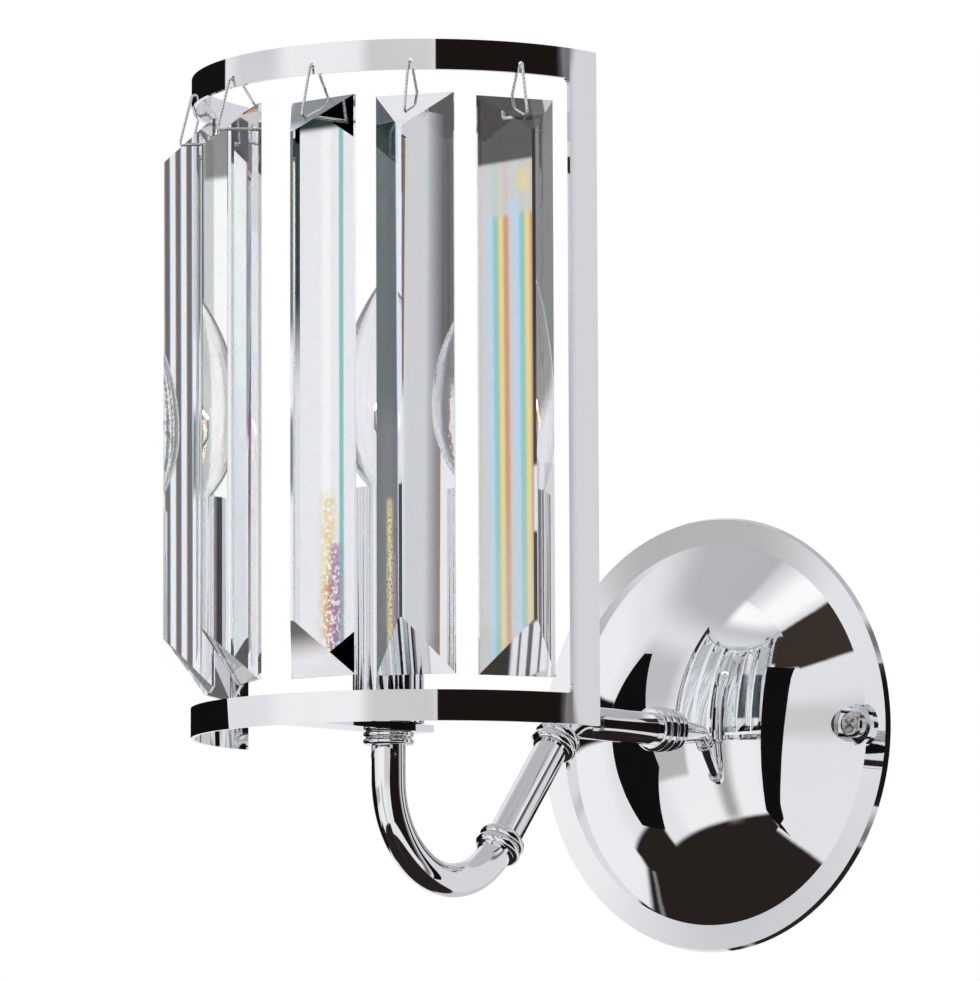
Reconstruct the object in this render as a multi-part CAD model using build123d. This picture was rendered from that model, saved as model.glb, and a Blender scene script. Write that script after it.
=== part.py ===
from build123d import *
from math import cos, pi, radians, sin, sqrt, tan
import os

# Crystal wall light, in millimetres. The wall is the plane y = 0, the light stands out along -Y,
# +Z is up, and the origin is the centre of the backplate on the wall.
# Angles round the shade are measured from straight ahead (-Y) towards +X.

# ---------------------------------------------------------------- driving dimensions
# backplate: spun sheet, a spherical dome that runs into a cone and a narrow rim
PLATE_RADIUS = 81.0
PLATE_SHEET = 1.2
DOME_RADIUS = 92.0
DOME_SLOPE_DEG = 36.0
DOME_RIM_RADIUS = 71.0
RIM_HEIGHT = 1.3
RIM_SLOPE_DEG = -6.0
RIM_EDGE_SLOPE_DEG = 72.0
PAD_RADIUS = 6.5
PAD_WALL = 1.2
PAD_HEIGHT = 3.8

# plate screws and the wall bracket behind the plate
SCREW_OFFSET = 67.0
SCREW_RADIUS = 2.0
SCREW_HEAD_RADIUS = 4.8
SCREW_HEAD_HEIGHT = 2.6
SCREW_TIP_HEIGHT = 0.8
CROSS_SLOT_WIDTH = 1.1
CROSS_SLOT_LENGTH = 5.2
CROSS_SLOT_DEPTH = 1.5
BRACKET_SHEET = 2.0
BRACKET_WIDTH = 16.0
BRACKET_CENTRE = 50.0
BRACKET_BOSS_RADIUS = 3.4
BRACKET_BOSS_HEIGHT = 0.4
WALL_SLOT_SPACING = 70.0
WALL_SLOT_LENGTH = 12.0
WALL_SLOT_WIDTH = 4.6
CABLE_HOLE_RADIUS = 6.0
CABLE_HOLE_DROP = 6.0
EARTH_SCREW_X = 19.0
EARTH_SCREW_Z = -17.0
EARTH_SCREW_RADIUS = 2.0
EARTH_HEAD_RADIUS = 3.8
EARTH_HEAD_HEIGHT = 2.4
EARTH_WASHER_RADIUS = 4.6
EARTH_WASHER_SHEET = 0.8
EARTH_SLOT_WIDTH = 1.0

# terminal block on the bracket
BLOCK_WIDTH = 27.0
BLOCK_DEPTH = 14.0
BLOCK_HEIGHT = 16.0
BLOCK_BOTTOM = 8.0
POLE_COUNT = 3
POLE_PITCH = 8.5
POLE_TUBE_RADIUS = 2.6
POLE_TUBE_BORE = 1.6
CLAMP_SCREW_RADIUS = 1.5
CLAMP_HEAD_RADIUS = 2.2
CLAMP_SCREW_RISE = 4.0
CLAMP_HEAD_HEIGHT = 1.6

# arm: 12 mm tube bent in the plane x = 0, in three lengths joined by beaded collars
TUBE_RADIUS = 6.0
TUBE_WALL = 1.0
LAMP_REACH = 186.5
NECK_BEND_RADIUS = 18.5
INCLINE_DEG = 50.5
UPPER_LEAD = 1.5
COLLAR_SPACING = 50.0
LOWER_LEAD = 2.0
U_BEND_RADIUS = 33.5
COLLAR_SLEEVE = 1.0
COLLAR_LENGTH = 8.0
BEAD_RADIUS = 1.95
BEAD_PITCH = 3.7
GRUB_RADIUS = 1.5
GRUB_DROP = 3.6
GRUB_ANGLES_DEG = (-30.0, 60.0)

# nipples, nuts and washers
NIPPLE_RADIUS = 4.95
NIPPLE_BORE = 3.5
SLIP_GAP = 0.05
NUT_FLATS = 14.0
NUT_HEIGHT = 3.0
WASHER_RADIUS = 8.0
WASHER_SHEET = 1.0
ROOT_NIPPLE_INSIDE = 7.0
ROOT_NIPPLE_OUTSIDE = 14.0
HOLDER_NIPPLE_BELOW = 13.0
HOLDER_NIPPLE_ABOVE = 7.0

# shade bar and riser collar
BAR_WIDTH = 16.0
BAR_SHEET = 2.6
BAR_BOTTOM = -9.4
BAR_TAIL = 15.0
RISER_COLLAR_RADIUS = 8.9
RISER_COLLAR_HEIGHT = 4.9
RISER_BEAD_RADIUS = 1.2

# shade frame: one half-round sheet with a window
SHADE_RADIUS = 82.0
SHADE_SHEET = 1.5
SHADE_AXIS_REACH = 167.5
SHADE_BOTTOM = -10.95
SHADE_HEIGHT = 234.5
SHADE_HALF_ANGLE = 88.0
BAND_HEIGHT = 10.6
STRIP_WIDTH = 13.0
WINDOW_CORNER = 2.5
LINK_HOLE_RADIUS = 1.0
LINK_HOLE_RISE = 3.0

# crystals and the wire links that carry them
CRYSTAL_ANGLES_DEG = (-65.0, -37.5, -13.0, 13.0, 37.5, 65.0)
CRYSTAL_TURNS_DEG = (0.0, -7.5, -20.0, -12.0, -15.5, -3.0)
CRYSTAL_LENGTH = 200.0
CRYSTAL_WIDTH = 28.0
CRYSTAL_DEPTH = 17.5
CRYSTAL_EDGE = 1.2
CRYSTAL_RIDGE = 1.3
CRYSTAL_LAND = 1.0
CRYSTAL_TOP_DROP = 13.6
CRYSTAL_BOTTOM_RISE = 18.0
CRYSTAL_HOLE_RADIUS = 0.6
CRYSTAL_HOLE_DROP = 7.5
CRYSTAL_GAP = 7.75
WIRE_RADIUS = 0.5
LINK_SEAT_DROP = 0.2
LINK_TOP_REACH = 1.8
LINK_SIDE_GAP = 1.1
LINK_CROWN_GAP = 1.2
LINK_BEND_RADIUS = 1.2

# lamp holder inside the candle sleeve
SLEEVE_RADIUS = 12.5
SLEEVE_WALL = 0.8
SLEEVE_TOP = 75.7
HOLDER_RADIUS = 11.0
HOLDER_TOP = 73.5
HOLDER_MOUTH_RADIUS = 7.5
HOLDER_CAVITY_RADIUS = 8.0
HOLDER_BASE_TOP = 6.0
PARTITION_BOTTOM = 46.0
PARTITION_TOP = 50.0
SOCKET_BORE = 7.05
SOCKET_BOTTOM = 54.0
SOCKET_TOP = 72.0
SOCKET_FOOT_RADIUS = 5.2
SOCKET_FOOT_SHEET = 0.5
CONTACT_POST_RADIUS = 1.2
CONTACT_DISC_RADIUS = 3.0
CONTACT_SHEET = 0.5
CONTACT_GAP = 0.3

# candle bulb
CAP_RADIUS = 6.9
CAP_WALL = 0.35
THREAD_PITCH = 2.822
THREAD_DEPTH = 0.5
THREAD_TURNS = 5
CAP_BOTTOM = 58.0
CAP_SKIRT_BOTTOM = 73.9
CAP_SKIRT_TOP = 76.2
CAP_SKIRT_RADIUS = 8.4
INSULATOR_RADIUS = 3.6
BUTTON_RADIUS = 2.4
BUTTON_TOP = 54.5
BUTTON_HEIGHT = 1.6
GLASS_WALL = 0.7
GLASS_NECK_RADIUS = 5.8
GLASS_NECK_BOTTOM = 66.0
GLASS_NECK_TOP = 75.5
GLASS_BELLY_RADIUS = 17.5
GLASS_BELLY_HEIGHT = 104.0
GLASS_TIP_HEIGHT = 152.6
GLASS_TIP_RADIUS = 1.4
STEM_RADIUS = 2.4
STEM_TOP = 88.0
STEM_FLARE_HEIGHT = 2.0
LEAD_RADIUS = 0.4
LEAD_SPREAD = 6.0
LEAD_TOP = 104.0
FILAMENT_RADIUS = 0.6
FILAMENT_RISE = 3.5

# insulated wires inside the arm
CORE_RADIUS = 0.9
CORE_OFFSET = 1.2
CORE_BEND_RADIUS = 4.0
CORE_ENTRY_BEND = 15.0
CORE_ENTRY_LEAD = 6.0
CORE_LEVEL = 37.0

OUT = "parts"


# ---------------------------------------------------------------- small helpers
def save(name, shape):
    """Write one sub-part to its own file."""
    shape.label = name
    export_step(shape, os.path.join(OUT, name + ".step"))
    print(name, len(shape.solids()), round(shape.volume, 1))


def forward(solid, height=0.0, x=0.0, z=0.0):
    """Stand a solid made along +Z out from the wall, its base at this height above it."""
    return Plane(origin=(x, -height, z), x_dir=(1, 0, 0), z_dir=(0, -1, 0)) * solid


def rod(radius, height, base=0.0):
    """Cylinder along +Z that starts at base."""
    return Pos(0, 0, base) * Cylinder(radius, height, align=(Align.CENTER, Align.CENTER, Align.MIN))


def pipe(radius, bore, height, base=0.0):
    """Hollow cylinder along +Z that starts at base."""
    return rod(radius, height, base) - rod(bore, height, base)


def block(width, depth, height, base=0.0):
    """Box centred on the Z axis that starts at base."""
    return Pos(0, 0, base) * Box(width, depth, height, align=(Align.CENTER, Align.CENTER, Align.MIN))


def hex_nut(base):
    """Hexagon nut on the nipple thread, along +Z."""
    flats = extrude(RegularPolygon(NUT_FLATS / 2, 6, major_radius=False), NUT_HEIGHT)
    return Pos(0, 0, base) * flats - rod(NIPPLE_RADIUS + SLIP_GAP, NUT_HEIGHT, base)


def beaded_collar(bore, length, sleeve, bead, pitch):
    """Turned ring along Z, centred on the origin, with two round beads side by side."""
    ring = rod(bore + sleeve, length, -length / 2)
    for side in (-1, 1):
        ring += Pos(0, 0, side * pitch / 2) * Torus(bore + sleeve / 2, bead)
    return ring - rod(bore, length + 2 * bead, -length / 2 - bead)


def swept(radius, path):
    """Round bar along a path."""
    section = Plane(origin=path @ 0, z_dir=path % 0) * Circle(radius)
    return sweep(section, path=path)


def round_shade(solid, angle):
    """Turn a solid that was made straight ahead to its place round the shade's axis."""
    axis = Pos(0, -SHADE_AXIS_REACH, 0)
    return axis * Rot(0, 0, angle) * axis.inverse() * solid


# ---------------------------------------------------------------- backplate
SLOPE = radians(DOME_SLOPE_DEG)
CONE_START = DOME_RADIUS * sin(SLOPE)
CONE_START_HEIGHT = RIM_HEIGHT + (DOME_RIM_RADIUS - CONE_START) * tan(SLOPE)
DOME_HEIGHT = CONE_START_HEIGHT + DOME_RADIUS * (1 - cos(SLOPE))
EDGE_RISE = tan(radians(RIM_EDGE_SLOPE_DEG))
RIM_FALL = tan(radians(RIM_SLOPE_DEG))
RIM_RUN = (PLATE_RADIUS - DOME_RIM_RADIUS - RIM_HEIGHT / EDGE_RISE) / (1 - RIM_FALL / EDGE_RISE)


def dome_sag(radius, sphere):
    """How far a spherical dome has fallen at this distance from its axis."""
    return sphere - sqrt(sphere ** 2 - radius ** 2)


def inset_corner(corner, slope_before, slope_after, wall):
    """Where a corner of the profile lies on a line one wall further in."""
    before = (-sin(slope_before), -cos(slope_before))
    after = (-sin(slope_after), -cos(slope_after))
    share = wall / (1 + before[0] * after[0] + before[1] * after[1])
    return (corner[0] + share * (before[0] + after[0]), corner[1] + share * (before[1] + after[1]))


def dome_solid(wall):
    """The space behind the plate's front face, set in by one wall where wall isn't zero."""
    rim_slope = radians(RIM_SLOPE_DEG)
    edge_slope = radians(RIM_EDGE_SLOPE_DEG)
    crease = (DOME_RIM_RADIUS, RIM_HEIGHT)
    shoulder = (DOME_RIM_RADIUS + RIM_RUN, RIM_HEIGHT - RIM_RUN * RIM_FALL)
    inner_crease = inset_corner(crease, SLOPE, rim_slope, wall)
    inner_shoulder = inset_corner(shoulder, rim_slope, edge_slope, wall)
    inner_foot = (PLATE_RADIUS - wall / sin(edge_slope), 0.0)
    centre = DOME_HEIGHT - DOME_RADIUS
    sphere = DOME_RADIUS - wall
    half = SLOPE / 2
    dome = ThreePointArc(
        (0, centre + sphere),
        (sphere * sin(half), centre + sphere * cos(half)),
        (sphere * sin(SLOPE), centre + sphere * cos(SLOPE)),
    )
    rest = Polyline(dome @ 1, inner_crease, inner_shoulder, inner_foot, (0, 0), dome @ 0)
    profile = Plane.XZ * make_face(dome + rest)
    return forward(revolve(profile, Axis.Z))


def backplate():
    """Spun dome with a flat-bottomed pad pressed in for each screw."""
    front = dome_solid(0.0)
    back = dome_solid(PLATE_SHEET)
    for side in (-1, 1):
        x = side * SCREW_OFFSET
        seat = PAD_HEIGHT - PLATE_SHEET
        front -= forward(rod(PAD_RADIUS, DOME_HEIGHT), PAD_HEIGHT, x)
        front += forward(rod(PAD_RADIUS + PAD_WALL, PAD_HEIGHT), 0, x)
        back -= forward(rod(PAD_RADIUS + PAD_WALL, DOME_HEIGHT), seat, x)
        back += forward(rod(PAD_RADIUS, seat), 0, x)
    plate = front - back - forward(rod(NIPPLE_RADIUS + SLIP_GAP, 2 * DOME_HEIGHT))
    for side in (-1, 1):
        plate -= forward(rod(SCREW_RADIUS + SLIP_GAP, DOME_HEIGHT), 0, side * SCREW_OFFSET)
    return plate


def plate_screws():
    """Two pan-head screws with a cross recess, from the pads into the bracket."""
    head = rod(SCREW_HEAD_RADIUS, SCREW_HEAD_HEIGHT, PAD_HEIGHT)
    head = fillet(head.edges().sort_by(Axis.Z)[-1], SCREW_HEAD_HEIGHT * 0.6)
    screw = head + rod(SCREW_RADIUS, PAD_HEIGHT - SCREW_TIP_HEIGHT, SCREW_TIP_HEIGHT)
    slot_base = PAD_HEIGHT + SCREW_HEAD_HEIGHT - CROSS_SLOT_DEPTH
    for width, depth in ((CROSS_SLOT_LENGTH, CROSS_SLOT_WIDTH), (CROSS_SLOT_WIDTH, CROSS_SLOT_LENGTH)):
        screw -= Rot(0, 0, 45) * block(width, depth, CROSS_SLOT_DEPTH, slot_base)
    return Compound(children=[forward(screw, 0, side * SCREW_OFFSET) for side in (-1, 1)])


# ---------------------------------------------------------------- behind the plate
def wall_bracket():
    """Steel strip with a wide centre, slots for the wall screws and tapped bosses at its ends."""
    end_radius = BRACKET_WIDTH / 2
    length = 2 * (SCREW_OFFSET + BRACKET_BOSS_RADIUS)
    strip = extrude(RectangleRounded(length, BRACKET_WIDTH, end_radius * 0.95), BRACKET_SHEET)
    centre = extrude(RectangleRounded(BRACKET_CENTRE, BRACKET_CENTRE, end_radius / 2), BRACKET_SHEET)
    bracket = forward(strip + centre)
    for side in (-1, 1):
        boss = rod(BRACKET_BOSS_RADIUS, BRACKET_SHEET + BRACKET_BOSS_HEIGHT)
        bracket += forward(boss, 0, side * SCREW_OFFSET)
        bracket -= forward(rod(SCREW_RADIUS + SLIP_GAP, PAD_HEIGHT), 0, side * SCREW_OFFSET)
        slot = extrude(SlotOverall(WALL_SLOT_LENGTH, WALL_SLOT_WIDTH), BRACKET_SHEET)
        bracket -= forward(slot, 0, side * WALL_SLOT_SPACING / 2)
    bracket -= forward(rod(CABLE_HOLE_RADIUS, BRACKET_SHEET), 0, 0, -CABLE_HOLE_DROP)
    earth_hole = rod(EARTH_SCREW_RADIUS + SLIP_GAP, BRACKET_SHEET)
    return bracket - forward(earth_hole, 0, EARTH_SCREW_X, EARTH_SCREW_Z)


def earth_washer():
    """Flat brass washer under the earth screw's head."""
    ring = pipe(EARTH_WASHER_RADIUS, EARTH_SCREW_RADIUS + SLIP_GAP, EARTH_WASHER_SHEET, BRACKET_SHEET)
    return forward(ring, 0, EARTH_SCREW_X, EARTH_SCREW_Z)


def earth_screw():
    """Slotted brass screw for the earth lead, in the bracket."""
    seat = BRACKET_SHEET + EARTH_WASHER_SHEET
    screw = rod(EARTH_SCREW_RADIUS, seat) + rod(EARTH_HEAD_RADIUS, EARTH_HEAD_HEIGHT, seat)
    slot_base = seat + EARTH_HEAD_HEIGHT / 2
    screw -= block(2 * EARTH_HEAD_RADIUS, EARTH_SLOT_WIDTH, EARTH_HEAD_HEIGHT, slot_base)
    return forward(screw, 0, EARTH_SCREW_X, EARTH_SCREW_Z)


POLE_HEIGHT = BRACKET_SHEET + BLOCK_DEPTH / 2
POLE_PLACES = [(i - (POLE_COUNT - 1) / 2) * POLE_PITCH for i in range(POLE_COUNT)]


def terminal_block():
    """Insulating body with a bore for each brass tube and a well for each clamp screw."""
    body = forward(block(BLOCK_WIDTH, BLOCK_HEIGHT, BLOCK_DEPTH), BRACKET_SHEET)
    body = Pos(0, 0, BLOCK_BOTTOM + BLOCK_HEIGHT / 2) * body
    for x in POLE_PLACES:
        body -= Pos(x, -POLE_HEIGHT, BLOCK_BOTTOM) * rod(POLE_TUBE_RADIUS, BLOCK_HEIGHT)
        well = rod(CLAMP_HEAD_RADIUS + SLIP_GAP, BLOCK_DEPTH)
        body -= forward(well, POLE_HEIGHT, x, BLOCK_BOTTOM + BLOCK_HEIGHT / 2)
    return body


def terminal_tubes():
    """Brass tubes that join the supply to the light's own wires."""
    tubes = []
    for x in POLE_PLACES:
        tube = Pos(x, -POLE_HEIGHT, BLOCK_BOTTOM) * pipe(POLE_TUBE_RADIUS, POLE_TUBE_BORE, BLOCK_HEIGHT)
        tap = rod(CLAMP_SCREW_RADIUS + SLIP_GAP, BLOCK_DEPTH)
        tubes.append(tube - forward(tap, POLE_HEIGHT, x, BLOCK_BOTTOM + BLOCK_HEIGHT / 2))
    return Compound(children=tubes)


def terminal_screws():
    """Clamp screws, one in each brass tube."""
    tip = POLE_HEIGHT + POLE_TUBE_BORE / 2
    head = POLE_HEIGHT + CLAMP_SCREW_RISE
    screw = rod(CLAMP_SCREW_RADIUS, head - tip, tip) + rod(CLAMP_HEAD_RADIUS, CLAMP_HEAD_HEIGHT, head)
    slot_base = head + CLAMP_HEAD_HEIGHT / 2
    screw -= block(2 * CLAMP_HEAD_RADIUS, CLAMP_SCREW_RADIUS / 2, CLAMP_HEAD_HEIGHT, slot_base)
    middle = BLOCK_BOTTOM + BLOCK_HEIGHT / 2
    return Compound(children=[forward(screw, 0, x, middle) for x in POLE_PLACES])


# ---------------------------------------------------------------- arm
INCLINE = radians(INCLINE_DEG)
ARM_WAY = Vector(0, cos(INCLINE), sin(INCLINE))
STRAIGHT = UPPER_LEAD + COLLAR_SPACING + LOWER_LEAD
NECK_DROP = NECK_BEND_RADIUS * (1 - cos(INCLINE))
U_CENTRE = Vector(0, -LAMP_REACH + U_BEND_RADIUS, -NECK_DROP - STRAIGHT * sin(INCLINE) + U_BEND_RADIUS * cos(INCLINE))
U_END = U_CENTRE + U_BEND_RADIUS * Vector(0, sin(INCLINE), -cos(INCLINE))
LOWER_COLLAR = U_END + LOWER_LEAD * ARM_WAY
UPPER_COLLAR = LOWER_COLLAR + COLLAR_SPACING * ARM_WAY
NECK_START = UPPER_COLLAR + UPPER_LEAD * ARM_WAY
NECK_END_Y = NECK_START.Y + NECK_BEND_RADIUS * sin(INCLINE)
RISER_TOP = BAR_BOTTOM - RISER_COLLAR_HEIGHT / 2
TUBE_BORE = TUBE_RADIUS - TUBE_WALL
ROOT_COLLAR_HEIGHT = DOME_HEIGHT + COLLAR_LENGTH / 2


def neck_arc(x=0.0):
    """Centre line of the neck bend, from the straight tube to the level stretch."""
    arc = CenterArc((NECK_END_Y, -NECK_BEND_RADIUS), NECK_BEND_RADIUS, 90 + INCLINE_DEG, -INCLINE_DEG)
    return Pos(x, 0, 0) * (Plane.YZ * arc)


def u_arc(x=0.0):
    """Centre line of the U bend, from the riser round to the straight tube."""
    arc = CenterArc((U_CENTRE.Y, U_CENTRE.Z), U_BEND_RADIUS, 180, 90 + INCLINE_DEG)
    return Pos(x, 0, 0) * (Plane.YZ * arc)


def upper_path():
    """Centre line of the upper tube, from the upper collar up to the dome."""
    neck = neck_arc()
    path = Line(UPPER_COLLAR, NECK_START) + neck + Line(neck @ 1, (0, -DOME_HEIGHT, 0))
    return Wire(path.edges())


def lower_path():
    """Centre line of the lower tube, from the riser's top round to the lower collar."""
    bend = u_arc()
    path = Line((0, -LAMP_REACH, RISER_TOP), bend @ 0) + bend + Line(bend @ 1, LOWER_COLLAR)
    return Wire(path.edges())


def upper_arm_tube():
    """Level stretch from the dome, and the neck bend down to the upper collar."""
    return swept(TUBE_RADIUS, upper_path()) - swept(TUBE_BORE, upper_path())


def straight_arm_tube():
    """Inclined straight tube between the upper and the lower collar."""
    return Plane(origin=LOWER_COLLAR, z_dir=ARM_WAY) * pipe(TUBE_RADIUS, TUBE_BORE, COLLAR_SPACING)


def lower_arm_tube():
    """Riser and U bend up to the lower collar, with a tapped hole for each grub screw."""
    tube = swept(TUBE_RADIUS, lower_path()) - swept(TUBE_BORE, lower_path())
    for angle in GRUB_ANGLES_DEG:
        tube -= grub_place(angle) * rod(GRUB_RADIUS, TUBE_RADIUS, TUBE_BORE - TUBE_WALL)
    return tube


def grub_place(angle):
    """Plane at the riser's axis that looks out through a grub screw."""
    turn = radians(angle)
    height = BAR_BOTTOM - RISER_COLLAR_HEIGHT - GRUB_DROP
    return Plane(origin=(0, -LAMP_REACH, height), z_dir=(sin(turn), -cos(turn), 0))


def grub_screws():
    """Two grub screws that hold the nipple in the riser."""
    length = TUBE_RADIUS - NIPPLE_RADIUS
    grubs = []
    for angle in GRUB_ANGLES_DEG:
        grub = rod(GRUB_RADIUS, length, NIPPLE_RADIUS)
        grub -= Pos(0, 0, NIPPLE_RADIUS + length / 2) * extrude(RegularPolygon(GRUB_RADIUS / 2, 6), length)
        grubs.append(grub_place(angle) * grub)
    return Compound(children=grubs)


def arm_collar(centre, way, path):
    """Beaded collar formed over the arm tube that runs along this path."""
    ring = beaded_collar(TUBE_RADIUS, COLLAR_LENGTH, COLLAR_SLEEVE, BEAD_RADIUS, BEAD_PITCH)
    return Plane(origin=centre, z_dir=way) * ring - swept(TUBE_RADIUS, path)


def root_nipple():
    """Hollow threaded nipple that joins the arm to the dome."""
    inside = DOME_HEIGHT - PLATE_SHEET - ROOT_NIPPLE_INSIDE
    length = ROOT_NIPPLE_INSIDE + PLATE_SHEET + ROOT_NIPPLE_OUTSIDE
    return forward(pipe(NIPPLE_RADIUS, NIPPLE_BORE, length), inside)


ROOT_WASHER_FACE = DOME_HEIGHT - PLATE_SHEET - dome_sag(WASHER_RADIUS, DOME_RADIUS - PLATE_SHEET)


def root_washer():
    """Washer against the inside of the dome."""
    ring = pipe(WASHER_RADIUS, NIPPLE_RADIUS + SLIP_GAP, WASHER_SHEET)
    return forward(ring, ROOT_WASHER_FACE - WASHER_SHEET)


def root_lock_nut():
    """Nut that pulls the arm against the dome."""
    return forward(hex_nut(0), ROOT_WASHER_FACE - WASHER_SHEET - NUT_HEIGHT)


# ---------------------------------------------------------------- shade bar and its fixing
def on_riser(solid):
    """Move a solid made on the Z axis to the riser's axis."""
    return Pos(0, -LAMP_REACH, 0) * solid


BAR_TOP = BAR_BOTTOM + BAR_SHEET
HOLDER_BOTTOM = BAR_TOP + WASHER_SHEET + NUT_HEIGHT
BAR_FRONT = SHADE_AXIS_REACH + sqrt((SHADE_RADIUS - SHADE_SHEET) ** 2 - (BAR_WIDTH / 2) ** 2)


def shade_bar():
    """Flat bar from the front of the lower band back over the riser."""
    back = LAMP_REACH - BAR_TAIL
    bar = Pos(0, -(BAR_FRONT + back) / 2, 0) * block(BAR_WIDTH, BAR_FRONT - back, BAR_SHEET, BAR_BOTTOM)
    reach = pipe(SHADE_RADIUS - SHADE_SHEET, 0.5 * SHADE_RADIUS, BAR_SHEET, BAR_BOTTOM)
    tip = Pos(0, -BAR_FRONT, 0) * block(BAR_WIDTH, 4 * SHADE_SHEET, BAR_SHEET, BAR_BOTTOM)
    bar += tip & (Pos(0, -SHADE_AXIS_REACH, 0) * reach)
    return bar - on_riser(rod(NIPPLE_RADIUS + SLIP_GAP, BAR_SHEET, BAR_BOTTOM))


def riser_collar():
    """Two-beaded collar between the riser and the shade bar."""
    bore = TUBE_RADIUS
    ring = rod(RISER_COLLAR_RADIUS - RISER_BEAD_RADIUS, RISER_COLLAR_HEIGHT)
    for height in (RISER_BEAD_RADIUS, RISER_COLLAR_HEIGHT - RISER_BEAD_RADIUS):
        ring += Pos(0, 0, height) * Torus(RISER_COLLAR_RADIUS - RISER_BEAD_RADIUS, RISER_BEAD_RADIUS)
    ring -= rod(NIPPLE_RADIUS + SLIP_GAP, RISER_COLLAR_HEIGHT)
    ring -= rod(bore, RISER_COLLAR_HEIGHT / 2)
    return on_riser(Pos(0, 0, BAR_BOTTOM - RISER_COLLAR_HEIGHT) * ring)


def holder_nipple():
    """Hollow threaded nipple through the riser, the bar and the lamp holder's base."""
    length = HOLDER_NIPPLE_BELOW + BAR_SHEET + WASHER_SHEET + NUT_HEIGHT + HOLDER_NIPPLE_ABOVE
    return on_riser(pipe(NIPPLE_RADIUS, NIPPLE_BORE, length, BAR_BOTTOM - HOLDER_NIPPLE_BELOW))


def holder_washer():
    """Washer on the shade bar."""
    return on_riser(pipe(WASHER_RADIUS, NIPPLE_RADIUS + SLIP_GAP, WASHER_SHEET, BAR_TOP))


def holder_lock_nut():
    """Nut that clamps the shade bar to the riser."""
    return on_riser(hex_nut(BAR_TOP + WASHER_SHEET))


# ---------------------------------------------------------------- shade frame
WINDOW_BOTTOM = SHADE_BOTTOM + BAND_HEIGHT
WINDOW_TOP = SHADE_BOTTOM + SHADE_HEIGHT - BAND_HEIGHT
HANG_RADIUS = SHADE_RADIUS - SHADE_SHEET / 2
LINK_HOLE_HEIGHT = WINDOW_TOP + LINK_HOLE_RISE


def ring_sector(radius, bore, half_angle, bottom, height):
    """Piece of a ring round the shade's axis, centred straight ahead."""
    ring = Pos(0, -SHADE_AXIS_REACH, 0) * pipe(radius, bore, height, bottom)
    reach = 2 * radius
    turn = radians(half_angle)
    corner = (reach * sin(turn), -SHADE_AXIS_REACH - reach * cos(turn))
    mirror = (-corner[0], corner[1])
    outline = Polyline((0, -SHADE_AXIS_REACH), corner, (corner[0], corner[1] - reach),
                       (mirror[0], mirror[1] - reach), mirror, close=True)
    wedge = Pos(0, 0, bottom) * extrude(make_face(outline), height)
    return ring & wedge


def shade_frame():
    """Half-round sheet with two bands, two upright strips and the link holes."""
    inner = SHADE_RADIUS - SHADE_SHEET
    sheet = ring_sector(SHADE_RADIUS, inner, SHADE_HALF_ANGLE, SHADE_BOTTOM, SHADE_HEIGHT)
    strip_angle = STRIP_WIDTH / SHADE_RADIUS * 180 / pi
    window_half = SHADE_HALF_ANGLE - strip_angle
    window = ring_sector(SHADE_RADIUS + SHADE_SHEET, inner - SHADE_SHEET, window_half,
                         WINDOW_BOTTOM, WINDOW_TOP - WINDOW_BOTTOM)
    across = window.edges().filter_by(lambda edge: edge.length < 4 * SHADE_SHEET).filter_by(
        lambda edge: abs(edge.tangent_at(0.5).Z) < 0.1)
    window = fillet(across, WINDOW_CORNER)
    frame = sheet - window
    for angle in CRYSTAL_ANGLES_DEG:
        hole = forward(rod(LINK_HOLE_RADIUS, 4 * SHADE_SHEET), SHADE_AXIS_REACH + inner - SHADE_SHEET,
                       0, LINK_HOLE_HEIGHT)
        frame -= round_shade(hole, angle)
    return frame


# ---------------------------------------------------------------- crystals and links
CRYSTAL_TOP = WINDOW_TOP - CRYSTAL_GAP
CRYSTAL_BASE = CRYSTAL_TOP - CRYSTAL_LENGTH
CRYSTAL_HOLE_HEIGHT = CRYSTAL_TOP - CRYSTAL_HOLE_DROP
LINK_HEIGHT = LINK_HOLE_HEIGHT - LINK_SEAT_DROP


def crystal_blank():
    """Crystal with its flat back on the plane y = 0 and its ridge towards -Y."""
    half = CRYSTAL_WIDTH / 2
    ridge = CRYSTAL_RIDGE / 2
    outline = Polyline((-half, 0), (-half, -CRYSTAL_EDGE), (-ridge, -CRYSTAL_DEPTH),
                       (ridge, -CRYSTAL_DEPTH), (half, -CRYSTAL_EDGE), (half, 0), close=True)
    prism = Pos(0, 0, CRYSTAL_BASE) * extrude(make_face(outline), CRYSTAL_LENGTH)
    for end, slant in ((CRYSTAL_TOP, -CRYSTAL_TOP_DROP), (CRYSTAL_BASE, CRYSTAL_BOTTOM_RISE)):
        past = CRYSTAL_DEPTH * 1.5
        fall = slant * (past - CRYSTAL_LAND) / (CRYSTAL_DEPTH - CRYSTAL_LAND)
        lift = -slant
        facet = Polyline((-CRYSTAL_LAND, end), (-past, end + fall), (-past, end + lift),
                         (-CRYSTAL_LAND, end + lift), close=True)
        prism -= extrude(Plane.YZ * make_face(facet), CRYSTAL_WIDTH, both=True)
    hole = rod(CRYSTAL_HOLE_RADIUS, 2 * CRYSTAL_DEPTH)
    return prism - forward(hole, -CRYSTAL_DEPTH / 2, 0, CRYSTAL_HOLE_HEIGHT)


CRYSTAL_BLANK = crystal_blank()
# the crystal hangs with its weight straight under the middle of the band
CRYSTAL_BACK = -SHADE_AXIS_REACH - HANG_RADIUS - CRYSTAL_BLANK.center(CenterOf.MASS).Y


def round_hang_line(solid, turn):
    """Turn a crystal or its link about the upright line through the band's hole."""
    line = Pos(0, -SHADE_AXIS_REACH - HANG_RADIUS, 0)
    return line * Rot(0, 0, turn) * line.inverse() * solid


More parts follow.
